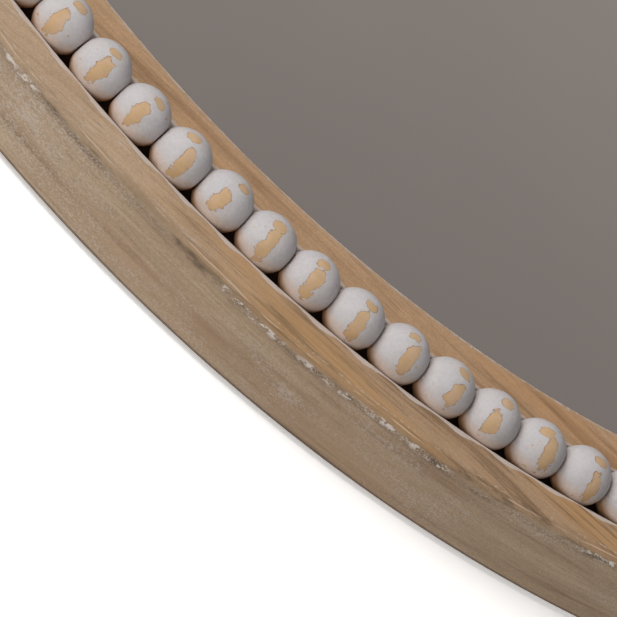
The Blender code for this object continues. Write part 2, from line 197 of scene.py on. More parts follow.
INNER_BOX = [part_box(f"inner_hoop_segment_{n}") for n in range(1, 7)]
HOOP_FRONT = min(low.y for low, high in INNER_BOX)
SEAT = max(high.y for low, high in INNER_BOX)
INNER_OUTSIDE = 369 * MM
INNER_INSIDE = 352.7 * MM
GLASS_WALL = 358 * MM
LIP = -26.9 * MM
INNER_FIRST_JOINT = math.radians(-3)
SEGMENTS = 6
JOINT = 0.12 * MM
ARC_STEP = 2.2 * MM
SECTION_STEP = 1.6 * MM
SHARP_FROM = math.radians(38)
SLANT = 0.7


def ring_point(radius, angle, y=0.0):
    """The point at a radius and an angle clockwise from the top, as the hoops are measured."""
    return Vector((radius * math.sin(angle), y, radius * math.cos(angle)))


def plus(tree, a, b):
    return maths(tree, "ADD", a, b)


def less(tree, a, b):
    return maths(tree, "SUBTRACT", a, b)


def most(tree, a, b):
    return maths(tree, "MAXIMUM", a, b)


def fibred(tree, vector, along, across, detail, rough=0.5, distortion=0.0):
    """Cloudiness drawn out along the grain, with its clouds per metre along and across it."""
    return clouds(tree, stretched(tree, vector, along, across, across), 1.0, detail, rough, distortion)


def shifted(tree, vector, *by):
    """A place moved by so much along each axis."""
    offset = add_node(tree, "ShaderNodeCombineXYZ", list(enumerate(by))).outputs[0]
    pairs = [(0, vector), (1, offset)]
    return add_node(tree, "ShaderNodeVectorMath", pairs, operation="ADD").outputs[0]


def rounded(bm, geom, size, segments, affect="EDGES"):
    bmesh.ops.bevel(
        bm,
        geom=geom,
        affect=affect,
        offset=size,
        segments=segments,
        profile=0.5,
        material=-1,
    )


def section_face(bm, corners, angle):
    """The outline of a hoop's section, as one face. Corners are (radius, y, rounding)."""
    points = [bm.verts.new(ring_point(r, angle, y)) for r, y, _ in corners]
    bm.faces.new(points)
    for point, (_, _, rounding) in zip(points, corners):
        if rounding:
            rounded(bm, [point], rounding, 5, "VERTICES")
    for edge in [e for e in bm.edges if e.calc_length() > 1.5 * SECTION_STEP]:
        cuts = int(edge.calc_length() / SECTION_STEP)
        bmesh.ops.bisect_edges(bm, edges=[edge], cuts=cuts)
    bm.faces.ensure_lookup_table()
    return bm.faces[0]


def swept_hoop(corners, first, sweep, radius):
    """A bmesh of a hoop's section turned about the hoop's axis and closed at both ends."""
    bm = bmesh.new()
    face = section_face(bm, corners, first)
    bmesh.ops.spin(
        bm,
        geom=[*face.verts, *face.edges, face],
        cent=(0, 0, 0),
        axis=(0, 1, 0),
        angle=sweep,
        steps=round(sweep * radius / ARC_STEP),
    )
    return bm


def rub_edge(point, arris, reach, depth, wave):
    """How far a point near a worn arris of this radius has been rubbed away, in metres."""
    radius = math.hypot(point.x, point.z)
    near = max(0.0, 1 - math.hypot(radius - arris, point.y - HOOP_FRONT) / reach)
    slow = 0.5 + 0.5 * noise.noise(point / wave)
    quick = 0.5 + 0.5 * noise.noise(point / (wave / 6) + Vector((7, 3, 5)))
    return near * near * depth * (slow + 0.35 * quick)


def mark_timber(mesh, middle, radius):
    """Two attributes: grain is the place in the straight board, section the place on the hoop."""
    grain = mesh.attributes.new("grain", "FLOAT_VECTOR", "POINT")
    section = mesh.attributes.new("section", "FLOAT_VECTOR", "POINT")
    for vert in mesh.vertices:
        x, y, z = vert.co
        r = math.hypot(x, z)
        turn = math.remainder(math.atan2(x, z) - middle, math.tau)
        grain.data[vert.index].vector = (r * math.sin(turn), r * math.cos(turn) + 3 * middle, y)
        section.data[vert.index].vector = (radius * (turn + middle), r, y)


def add_piece(name, bm, finishes, body, replaced=()):
    """Makes an object of a bmesh: facing out, smooth but for its sharp edges, and on its body."""
    bm.normal_update()
    bmesh.ops.recalc_face_normals(bm, faces=bm.faces)
    mesh = bpy.data.meshes.new(name)
    bm.to_mesh(mesh)
    bm.free()
    for finish in finishes:
        mesh.materials.append(finish)
    mesh.shade_smooth()
    mesh.set_sharp_from_angle(angle=SHARP_FROM)
    made = bpy.data.objects.new(name, mesh)
    bpy.context.scene.collection.objects.link(made)
    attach(made, body)
    if replaced:
        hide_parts(*replaced)
    return made


def add_hoop(hoop, first_joint, radii, section, worn, finish):
    """
    The six pieces of a hoop of this section, between the two radii. Worn says how far round each
    of the front's two arrises it is rubbed, how deep, and in how long waves.
    """
    inside, outside = radii
    short = JOINT / outside
    for number in range(1, SEGMENTS + 1):
        first = first_joint + math.tau / SEGMENTS * (number - 1)
        bm = swept_hoop(section, first + short / 2, math.tau / SEGMENTS - short, outside)
        for vert in bm.verts:
            place = vert.co.copy()
            inner = rub_edge(place, inside, *worn[0])
            outer = rub_edge(place, outside, *worn[1])
            radius = math.hypot(place.x, place.z) + SLANT * (inner - outer)
            depth = place.y + SLANT * (inner + outer)
            vert.co = ring_point(radius, math.atan2(place.x, place.z), depth)
        replaced = [f"{hoop}_segment_{number}"]
        made = add_piece(f"{hoop}_{number}", bm, [finish], "mirror_frame", replaced)
        mark_timber(made.data, first + math.pi / SEGMENTS, outside)


def make_timber():
    """Straight-grained timber: broad bands, fine fibres and short open pores."""
    group, given, result = new_effect(
        "timber",
        [("Grain", "Vector"), ("Pale", "Color"), ("Tan", "Color"), ("Brown", "Color")],
        [("Colour", "Color"), ("Pores", "Float"), ("Height", "Float")],
    )
    grain = given.outputs["Grain"]
    sway = clouds(group, stretched(group, grain, 1.0, 3.0, 3.0), 9.0, 2.0)
    grain = shifted(group, grain, 0.0, times(group, sway, 14 * MM), times(group, sway, 9 * MM))
    bands = fibred(group, grain, 7.0, 130.0, 6.0, 0.6, 0.5)
    fibres = fibred(group, grain, 50.0, 1100.0, 3.0)
    openings = fibred(group, grain, 140.0, 2300.0, 1.0)
    pores = ease(group, openings, 0.60, 0.72)
    colour = blend(group, ease(group, bands, 0.30, 0.52), given.outputs["Brown"], given.outputs["Tan"])
    colour = blend(group, ease(group, bands, 0.52, 0.74), colour, given.outputs["Pale"])
    shade = blend(group, fibres, (0.80, 0.79, 0.77, 1), (1.18, 1.18, 1.18, 1))
    colour = blend(group, 1.0, colour, shade, "MULTIPLY")
    fuzz = fibred(group, given.outputs["Grain"], 1400.0, 2400.0, 2.0, 0.7)
    fuzz = blend(group, ease(group, fuzz, 0.3, 0.7), (0.87, 0.86, 0.85, 1), (1.13, 1.13, 1.13, 1))
    colour = blend(group, 1.0, colour, fuzz, "MULTIPLY")
    colour = blend(group, times(group, pores, 0.22), colour, (0.07, 0.04, 0.025, 1))
    height = less(group, times(group, fibres, 0.7), pores)
    group.links.new(colour, result.inputs["Colour"])
    group.links.new(pores, result.inputs["Pores"])
    group.links.new(height, result.inputs["Height"])
    return group


def make_residue():
    """White paint left in the pores and hollows of sanded timber."""
    group, given, result = new_effect(
        "paint_residue",
        [("Grain", "Vector"), ("Amount", "Float")],
        [("Mask", "Float")],
    )
    grain, amount = given.outputs["Grain"], given.outputs["Amount"]
    drift = fibred(group, grain, 12.0, 60.0, 3.0, 0.6)
    flecks = fibred(group, grain, 500.0, 1300.0, 3.0, 0.65)
    level = plus(group, times(group, drift, 0.55), times(group, flecks, 0.6))
    limit = less(group, 0.86, times(group, amount, 0.34))
    over = less(group, level, limit)
    group.links.new(ease(group, over, -0.02, 0.06), result.inputs["Mask"])
    return group


timber = make_timber()
residue = make_residue()
WHITE_LEFT = (0.60, 0.53, 0.49, 1)


def read_attribute(tree, name):
    return add_node(tree, "ShaderNodeAttribute", attribute_name=name, attribute_type="GEOMETRY")


def sawn(tree, grain, pale, tan, brown):
    """Colour, pores and height of the timber, from its place in the board and three colours."""
    pairs = [("Grain", grain), ("Pale", pale), ("Tan", tan), ("Brown", brown)]
    return place_effect(tree, timber, pairs)[:3]


def make_inner_timber():
    made, tree = start_finish("inner_hoop_timber", Specular_IOR_Level=0.35)
    grain = read_attribute(tree, "grain").outputs["Vector"]
    radius = split(tree, read_attribute(tree, "section").outputs["Vector"])[1]
    tones = [(0.60, 0.40, 0.245, 1), (0.51, 0.33, 0.195, 1), (0.33, 0.195, 0.11, 1)]
    colour, pores, height = sawn(tree, grain, *tones)
    golden = ease(tree, fibred(tree, grain, 9.0, 60.0, 3.0), 0.46, 0.66)
    colour = blend(tree, times(tree, golden, 0.6), colour, (0.55, 0.315, 0.15, 1))
    streaks = ease(tree, fibred(tree, grain, 16.0, 330.0, 5.0, 0.62, 0.9), 0.54, 0.68)
    colour = blend(tree, times(tree, streaks, 0.45), colour, (0.20, 0.12, 0.065, 1))
    ragged = clouds(tree, grain, 260.0, 4.0, 0.65)
    ragged = times(tree, less(tree, ragged, 0.5), 3.2 * MM)
    # a paler rubbed band beside the mirror, and paint along both arrises
    radius = plus(tree, radius, ragged)
    pale = ease(tree, radius, INNER_INSIDE + 3.5 * MM, INNER_INSIDE)
    colour = blend(tree, times(tree, pale, 0.55), colour, (0.47, 0.36, 0.26, 1))
    mirror_arris = ease(tree, radius, INNER_INSIDE + 1.1 * MM, INNER_INSIDE + 0.4 * MM)
    channel_arris = ease(tree, radius, INNER_OUTSIDE - 1.2 * MM, INNER_OUTSIDE - 0.7 * MM)
    left = place_effect(tree, residue, [("Grain", grain), ("Amount", pale)])[0]
    paint = most(tree, channel_arris, times(tree, mirror_arris, 0.85))
    paint = most(tree, paint, left)
    colour = blend(tree, times(tree, paint, 0.85), colour, WHITE_LEFT)
    height = plus(tree, height, times(tree, paint, 1.5))
    rough = plus(tree, 0.62, times(tree, pores, 0.2))
    normal = relief(tree, height, 0.5, 0.12 * MM)
    return finished(made, Base_Color=colour, Roughness=rough, Normal=normal)


inner_timber = make_inner_timber()

inner_section = [
    (GLASS_WALL, SEAT, 0),
    (GLASS_WALL, LIP, 0),
    (INNER_INSIDE, LIP, 0.3 * MM),
    (INNER_INSIDE, HOOP_FRONT, 0.5 * MM),
    (INNER_OUTSIDE, HOOP_FRONT, 0.7 * MM),
    (INNER_OUTSIDE, SEAT, 0),
]
add_hoop(
    "inner_hoop",
    INNER_FIRST_JOINT,
    (INNER_INSIDE, INNER_OUTSIDE),
    inner_section,
    [(3 * MM, 0.3 * MM, 0.05), (2.5 * MM, 0.3 * MM, 0.03)],
    inner_timber,
)


# Mirror tapes: four upright strips of white double-sided foam, which hold the mirror to the panel.
# The foam is full of tiny closed cells.


def make_foam():
    made, tree = start_finish("white_foam", Roughness=0.95, Specular_IOR_Level=0.2)
    place = object_place(tree)
    pairs = [("Vector", place), ("Scale", 1600.0)]
    cells = add_node(tree, "ShaderNodeTexVoronoi", pairs).outputs["Distance"]
    colour = blend(tree, ease(tree, cells, 0.1, 0.6), (0.62, 0.61, 0.58, 1), (0.82, 0.82, 0.80, 1))
    normal = relief(tree, cells, 0.6, 0.2 * MM)
    return finished(made, Base_Color=colour, Normal=normal)


foam = make_foam()
for number in range(1, 5):
    refinish(f"mirror_tape_{number}", foam)


# Mirror: a round float-glass mirror with ground edges. Its front shows the silvering, with a
# trace of hand smears, its rim is greenish glass, and its back has grey protective paint.

GLASS_LOW, GLASS_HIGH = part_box("mirror_glass")
GLASS_RADIUS = 357.5 * MM
GLASS_SIDES = 288
GLASS_EDGE = 0.5 * MM
SILVER_COLOUR = (0.86, 0.845, 0.83, 1)


def make_silver():
    made, tree = start_finish("silvered_glass", Metallic=1.0)
    place = object_place(tree)
    cloud, specks = place_effect(tree, handling, [("Place", place), ("Size", 5.0)])[:2]
    smears = clouds(tree, stretched(tree, place, 1.0, 1.0, 3.0), 22.0, 6.0, 0.62, 1.2)
    dull = times(tree, ease(tree, smears, 0.45, 0.75), 0.05)
    dust = times(tree, specks, 0.10)
    colour = blend(tree, times(tree, cloud, 0.5), SILVER_COLOUR, (0.80, 0.79, 0.785, 1))
    rough = plus(tree, plus(tree, dull, dust), 0.025)
    return finished(made, Base_Color=colour, Roughness=rough)


def make_ground_edge():
    made, tree = start_finish("ground_glass_edge", Roughness=0.3)
    place = object_place(tree)
    marks = clouds(tree, stretched(tree, place, 1.0, 0.2, 1.0), 900.0, 3.0)
    colour = blend(tree, marks, (0.10, 0.19, 0.16, 1), (0.24, 0.34, 0.30, 1))
    normal = relief(tree, marks, 0.3, 0.05 * MM)
    return finished(made, Base_Color=colour, Normal=normal)


def make_mirror_backing():
    made, tree = start_finish("mirror_backing_paint", Roughness=0.6)
    cloud, specks = place_effect(tree, handling, [("Place", object_place(tree)), ("Size", 30.0)])[:2]
    colour = blend(tree, cloud, (0.20, 0.21, 0.22, 1), (0.25, 0.26, 0.265, 1))
    colour = blend(tree, times(tree, specks, 0.4), colour, (0.12, 0.12, 0.13, 1))
    return finished(made, Base_Color=colour)


def rounded_disc(middle, radius, depth, sides, rounding, steps):
    """A disc that faces front and back, with both its rims rounded."""
    bm = bmesh.new()
    bmesh.ops.create_cone(
        bm,
        cap_ends=True,
        segments=sides,
        radius1=radius,
        radius2=radius,
        depth=depth,
        matrix=Matrix.Translation(middle) @ Matrix.Rotation(math.radians(90), 4, "X"),
    )
    rims = [e for e in bm.edges if e.calc_face_angle(0) > 1]
    rounded(bm, rims, rounding, steps)
    bmesh.ops.recalc_face_normals(bm, faces=bm.faces)
    return bm


def add_mirror():
    middle = Vector((0, (GLASS_LOW.y + GLASS_HIGH.y) / 2, 0))
    thick = GLASS_HIGH.y - GLASS_LOW.y
    bm = rounded_disc(middle, GLASS_RADIUS, thick, GLASS_SIDES, GLASS_EDGE, 2)
    for face in bm.faces:
        face.material_index = 1
        if face.normal.y < -0.99:
            face.material_index = 0
        if face.normal.y > 0.99:
            face.material_index = 2
    finishes = [make_silver(), make_ground_edge(), make_mirror_backing()]
    add_piece("mirror", bm, finishes, "mirror_frame", ["mirror_glass"])


add_mirror()


# Bead strings: turned wooden beads threaded on cotton cords and laid in the channel between the
# hoops. Painted chalky white, then rubbed bare in a few ragged patches where they stand proud.

BEAD_RADIUS = 10 * MM
BEAD_LENGTH = 18.33 * MM
BEAD_BORE = 1.3 * MM
BEAD_ROUNDING = 0.5 * MM
BEAD_RING = 380 * MM
BEAD_PLANE = -32.3 * MM
BEAD_COUNT = 128
FIRST_BEAD = math.radians(2.1)
STRINGS = 8
PER_STRING = BEAD_COUNT // STRINGS
BORE_SUNK = 3 * MM
SMALLEST = 0.972
LARGEST = 0.998
BEAD_TILT = 1.6
LUMP_LENGTH = 5 * MM
LUMP_SHARE = 0.008
SQUARENESS = 2.6
HONEY = (0.58, 0.405, 0.245, 1)
CHALK = (0.55, 0.533, 0.543, 1)
PATCH_INPUTS = (
    "Outward", "Sideways", "Centre outward", "Centre sideways", "Half length", "Half width", "Ragged",
)


def scaled(tree, value, by, start):
    return maths(tree, "MULTIPLY_ADD", value, by, start)


def make_patch():
    """How far inside one rubbed patch a place on a bead lies. Above zero is bare wood."""
    inputs = [(label, "Float") for label in PATCH_INPUTS]
    group, given, result = new_effect("rubbed_patch", inputs, [("Inside", "Float")])
    given = given.outputs
    over = less(group, given["Outward"], given["Centre outward"])
    over = maths(group, "DIVIDE", over, given["Half length"])
    side = less(group, given["Sideways"], given["Centre sideways"])
    side = maths(group, "DIVIDE", side, given["Half width"])
    over = maths(group, "POWER", maths(group, "ABSOLUTE", over), SQUARENESS)
    side = maths(group, "POWER", maths(group, "ABSOLUTE", side), SQUARENESS)
    far = maths(group, "SQRT", plus(group, over, side))
    inside = plus(group, less(group, 1.0, far), given["Ragged"])
    group.links.new(inside, result.inputs["Inside"])
    return group


rubbed_patch = make_patch()


def make_bead_paint():
    made, tree = start_finish("rubbed_chalk_paint", Specular_IOR_Level=0.3)
    place = read_attribute(tree, "bead").outputs["Vector"]
    number = read_attribute(tree, "bead_number").outputs["Fac"]
    along, depth, outward = split(tree, place)
    chance = add_node(tree, "ShaderNodeTexWhiteNoise", [("W", number)], noise_dimensions="1D")
    first, second, third = split(tree, chance.outputs["Color"])
    later = plus(tree, number, 311.0)
    chance = add_node(tree, "ShaderNodeTexWhiteNoise", [("W", later)], noise_dimensions="1D")
    fourth, fifth = split(tree, chance.outputs["Color"])[:2]
    own = shifted(tree, place, times(tree, number, 0.0731), times(tree, number, 0.0417))
    coarse = less(tree, clouds(tree, own, 230.0, 2.0, 0.5, 0.4), 0.5)
    fine = less(tree, clouds(tree, own, 900.0, 3.0, 0.6), 0.5)
    over = maths(tree, "ARCTAN2", outward, times(tree, depth, -1.0))
    torn = scaled(tree, ease(tree, over, 0.8, 1.3), 1.3, 0.5)
    ragged = plus(tree, times(tree, coarse, 1.9), times(tree, fine, torn))
    side = maths(tree, "DIVIDE", along, BEAD_RADIUS)

    def patch(centre_out, spread_out, centre_side, length, width, a, b, c):
        """One patch, moved and sized a little by three of the bead's own chances."""
        moved = scaled(tree, a, spread_out, centre_out - spread_out / 2)
        aside = scaled(tree, b, 0.44, centre_side - 0.22)
        long = scaled(tree, c, 0.35 * length, 0.8 * length)
        values = (over, side, moved, aside, long, width, ragged)
        return place_effect(tree, rubbed_patch, list(zip(PATCH_INPUTS, values)))[0]

    main = patch(0.93, 0.24, 0.03, 0.55, 0.225, first, second, third)
    front = patch(0.06, 0.16, 0.0, 0.19, 0.24, fourth, third, fifth)
    inner = patch(-1.05, 0.30, 0.0, 0.34, 0.22, second, fifth, first)
    inside = most(tree, most(tree, main, front), inner)
    chips = ease(tree, clouds(tree, own, 620.0, 1.0), 0.74, 0.76)
    bare = most(tree, ease(tree, inside, 0.0, 0.07), chips)
    # a thin dark line round each patch: painted shadow of the paint's raised edge
    rim = times(tree, ease(tree, inside, -0.10, 0.0), ease(tree, inside, 0.16, 0.03))
    wood_lines = fibred(tree, own, 150.0, 900.0, 3.0)
    wood = blend(tree, wood_lines, (0.46, 0.29, 0.14, 1), (0.62, 0.44, 0.26, 1))
    wood = blend(tree, 0.5, wood, HONEY)
    rosy = ease(tree, clouds(tree, own, 170.0, 3.0), 0.45, 0.65)
    wood = blend(tree, times(tree, rosy, 0.5), wood, (0.62, 0.44, 0.31, 1))
    # bare wood painted darker and more orange toward the outer hoop: painted warm bounce light from the
    # hoop
    wood = blend(tree, times(tree, ease(tree, over, 0.95, 1.5), 0.45), wood, (0.50, 0.31, 0.14, 1))
    cloud, specks = place_effect(tree, handling, [("Place", own), ("Size", 130.0)])[:2]
    paint = blend(tree, times(tree, cloud, 0.5), CHALK, (0.50, 0.50, 0.515, 1))
    warm = ease(tree, clouds(tree, own, 90.0, 4.0, 0.6), 0.55, 0.78)
    paint = blend(tree, times(tree, warm, 0.35), paint, (0.52, 0.45, 0.39, 1))
    # paint darker and browner toward both ends, where beads meet: painted shade between neighbouring
    # beads
    ends = ease(tree, maths(tree, "ABSOLUTE", side), 0.72, 0.95)
    paint = blend(tree, times(tree, ends, 0.35), paint, (0.42, 0.33, 0.28, 1))
    paint = blend(tree, times(tree, specks, 0.25), paint, (0.45, 0.36, 0.28, 1))
    # paint painted warmer toward the outer hoop as painted warm bounce light from the hoop, and
    # deep brown where the bead lies against it as painted shade
    hoop_bounce = times(tree, ease(tree, over, 1.15, 1.70), scaled(tree, warm, 0.4, 0.6))
    paint = blend(tree, hoop_bounce, paint, (0.66, 0.48, 0.36, 1))
    paint = blend(tree, ease(tree, over, 1.6, 2.1), paint, (0.46, 0.25, 0.13, 1))
    mottle = clouds(tree, own, 900.0, 4.0, 0.7)
    uneven = blend(tree, mottle, (0.82, 0.82, 0.83, 1), (1.16, 1.16, 1.16, 1))
    paint = blend(tree, 1.0, paint, uneven, "MULTIPLY")
    colour = blend(tree, bare, paint, wood)
    # the painted shadow of the paint's edge, darkened unevenly
    rim = times(tree, rim, scaled(tree, ease(tree, mottle, 0.4, 0.6), 0.5, 0.25))
    colour = blend(tree, rim, colour, (0.30, 0.17, 0.085, 1))
    skin = times(tree, clouds(tree, own, 270.0, 3.0, 0.5, 0.6), 1.6)
    skin = plus(tree, skin, times(tree, mottle, 0.6))
    height = less(tree, skin, bare)
    rough = plus(tree, times(tree, cloud, 0.12), 0.58)
    normal = relief(tree, height, 0.75, 0.17 * MM)
    return finished(made, Base_Color=colour, Roughness=rough, Normal=normal)


def make_cotton():
    made, tree = start_finish("cotton_cord", Roughness=0.95, Specular_IOR_Level=0.2)
    lay = read_attribute(tree, "lay").outputs["Vector"]
    pairs = [("Vector", lay), ("Scale", 1.0), ("Distortion", 0.6)]
    twist = add_node(tree, "ShaderNodeTexWave", pairs, bands_direction="DIAGONAL").outputs["Fac"]
    colour = blend(tree, twist, (0.10, 0.07, 0.05, 1), (0.30, 0.24, 0.18, 1))
    normal = relief(tree, twist, 0.8, 0.25 * MM)
    return finished(made, Base_Color=colour, Normal=normal)


def verts_in(geom):
    return [part for part in geom if isinstance(part, bmesh.types.BMVert)]


def edges_in(geom):
    return [part for part in geom if isinstance(part, bmesh.types.BMEdge)]


def bead_mesh():
    """A ball with both ends sawn flat, its rims eased, and the mouth of the bore sunk in each end."""
    bm = bmesh.new()
    along_x = Matrix.Rotation(math.radians(90), 4, "Y")
    bmesh.ops.create_uvsphere(bm, u_segments=32, v_segments=26, radius=BEAD_RADIUS, matrix=along_x)
    for end in (-1, 1):
        cut = bmesh.ops.bisect_plane(
            bm,
            geom=[*bm.verts, *bm.edges, *bm.faces],
            plane_co=(end * BEAD_LENGTH / 2, 0, 0),
            plane_no=(end, 0, 0),
            clear_outer=True,
        )
        loop = edges_in(cut["geom_cut"])
        bmesh.ops.edgeloop_fill(bm, edges=loop)
        rounded(bm, loop, BEAD_ROUNDING, 3)
        cap = max(bm.faces, key=lambda f: len(f.verts) + end * f.calc_center_median().x)
        radius = max(math.hypot(v.co.y, v.co.z) for v in cap.verts)
        bmesh.ops.inset_region(bm, faces=[cap], thickness=radius - BEAD_BORE)
        sunk = bmesh.ops.extrude_face_region(bm, geom=[cap])
        bmesh.ops.delete(bm, geom=[cap], context="FACES_ONLY")
        bmesh.ops.translate(bm, verts=verts_in(sunk["geom"]), vec=(-end * BORE_SUNK, 0, 0))
    mesh = bpy.data.meshes.new("one_bead")
    bm.to_mesh(mesh)
    bm.free()
    return mesh


def on_ring(angle):
    """The place of a bead in the channel, turned to lie along it."""
    return Matrix.Translation(ring_point(BEAD_RING, angle, BEAD_PLANE)) @ Matrix.Rotation(angle, 4, "Y")


bead_paint = make_bead_paint()
cotton = make_cotton()
one_bead = bead_mesh()
chances = random.Random(41)


def add_beads(string):
    bm = bmesh.new()
    bead_layer = bm.verts.layers.float_vector.new("bead")
    number_layer = bm.verts.layers.float.new("bead_number")
    for place in range(PER_STRING):
        number = string * PER_STRING + place
        before = len(bm.verts)
        bm.from_mesh(one_bead)
        bm.verts.ensure_lookup_table()
        angle = FIRST_BEAD + math.tau / BEAD_COUNT * number
        stand = on_ring(angle)
        size = chances.uniform(SMALLEST, LARGEST)
        roll = Matrix.Rotation(chances.uniform(0, math.tau), 4, "X")
        tilt = Matrix.Rotation(math.radians(chances.gauss(0, BEAD_TILT)), 4, "Z")
        nod = Matrix.Rotation(math.radians(chances.gauss(0, BEAD_TILT)), 4, "Y")
        turn = tilt @ nod @ roll @ Matrix.Diagonal((LARGEST, size, size, 1))
        for vert in bm.verts[before:]:
            lump = noise.noise(vert.co / LUMP_LENGTH + Vector((number, 0, 0)))
            own = turn @ (vert.co * (1 + LUMP_SHARE * lump))
            vert[bead_layer] = own
            vert[number_layer] = number
            vert.co = stand @ own
    name = f"beads_{string + 1}"
    add_piece(name, bm, [bead_paint], "mirror_frame", [f"bead_string_{string + 1}"])


CORD_RADIUS = 1 * MM


def add_cord(string):
    """The cord through one string's beads, ending inside its first and last bead."""
    pitch = math.tau / BEAD_COUNT
    first = FIRST_BEAD + pitch * string * PER_STRING
    sweep = pitch * (PER_STRING - 1)
    bm = bmesh.new()
    start = on_ring(first) @ Matrix.Rotation(math.radians(90), 4, "Y")
    bmesh.ops.create_circle(bm, cap_ends=True, segments=8, radius=CORD_RADIUS, matrix=start)
    bmesh.ops.spin(
        bm,
        geom=[*bm.verts, *bm.edges, *bm.faces],
        cent=(0, 0, 0),
        axis=(0, 1, 0),
        angle=sweep,
        steps=4 * PER_STRING,
    )
    made = add_piece(f"bead_cord_{string + 1}", bm, [cotton], "mirror_frame")
    lay = made.data.attributes.new("lay", "FLOAT_VECTOR", "POINT")
    for vert in made.data.vertices:
        x, y, z = vert.co
        turn = math.remainder(math.atan2(x, z) - first, math.tau)
        round_cord = math.atan2(math.hypot(x, z) - BEAD_RING, y - BEAD_PLANE)
        lay.data[vert.index].vector = (turn * BEAD_RING * 900, round_cord, 0)


for string in range(STRINGS):
    add_beads(string)
    add_cord(string)


# Outer hoop: six deeper pieces of the same timber, rebated behind for the panel. Its front arris
# is rubbed to a wandering round, its channel arris keeps a ragged line of white paint, and its
# side is greyer and more open-grained than its face.

OUTER_INSIDE = 390.2 * MM
OUTER_OUTSIDE = 407 * MM
REBATE = 398.3 * MM
HOOP_BACK = -2 * MM
OUTER_FIRST_JOINT = math.radians(-7)
BROWN_END = math.radians(189)


